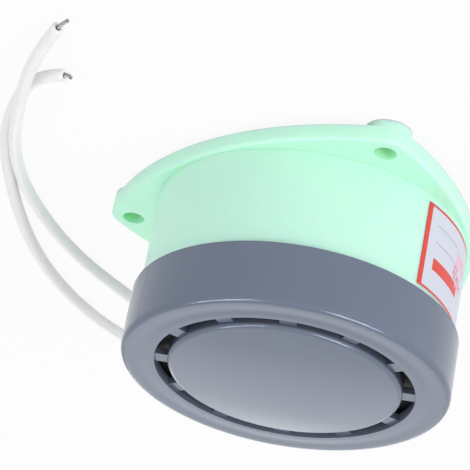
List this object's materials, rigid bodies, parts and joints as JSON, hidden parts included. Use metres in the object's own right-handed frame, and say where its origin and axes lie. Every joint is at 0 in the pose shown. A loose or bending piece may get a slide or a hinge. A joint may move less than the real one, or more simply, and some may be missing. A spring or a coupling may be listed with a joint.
{
  "type": "alarm buzzer",
  "caption": "Flange-mounted alarm buzzer: round moulded housing with three lugs, slotted grille cap and two loose supply leads with bare ends.",
  "frame": {"origin": "on the body's axis, in the plane of the three pads behind the lugs", "axes": "+Z along the body's axis, out of the grille; +Y towards the lug furthest from the side label's start"},
  "size_m": [0.1238, 0.147, 0.0428],
  "materials": {
    "housing_plastic": "satin moulded plastic",
    "cap_plastic": "satin moulded plastic",
    "label_paper": "coated paper with red print",
    "ring_plastic": "moulded plastic",
    "brass": "rolled sheet",
    "piezo_ceramic": "fired, silvered",
    "board": "phenolic board",
    "screw_steel": "zinc plated",
    "ferrite": "sintered ferrite",
    "copper_wire": "enamelled copper winding, brass stands in for copper",
    "can_sleeve": "sleeved can",
    "film_block": "cast block",
    "blue_coating": "coated disc",
    "black_resin": "moulded resin",
    "resistor_body": "lacquered",
    "tinned_wire": "tinned copper, steel stands in for it",
    "solder": "tin solder",
    "lead_insulation": "soft vinyl",
    "tinned_core": "tinned copper strands"
  },
  "bodies": {
    "root": {"housing": "housing_plastic", "grille_cap": "cap_plastic", "side_label": "label_paper", "sounder_ring": "ring_plastic", "brass_disc": "brass", "piezo_ceramic": "piezo_ceramic", "circuit_board": "board", "board_screws": "screw_steel", "drum_core": "ferrite", "coil_winding": "copper_wire", "electrolytic_capacitor": "can_sleeve", "film_capacitor": "film_block", "surge_stopper": "blue_coating", "transistor": "black_resin", "rectifier_diodes": "black_resin", "resistors": "resistor_body", "sounder_links": "tinned_wire", "solder_joints": "solder", "lead_wire_a": "lead_insulation", "lead_wire_b": "lead_insulation", "lead_tip_a": "tinned_core", "lead_tip_b": "tinned_core", "lead_terminals": "tinned_core"}
  },
  "joints": []
}
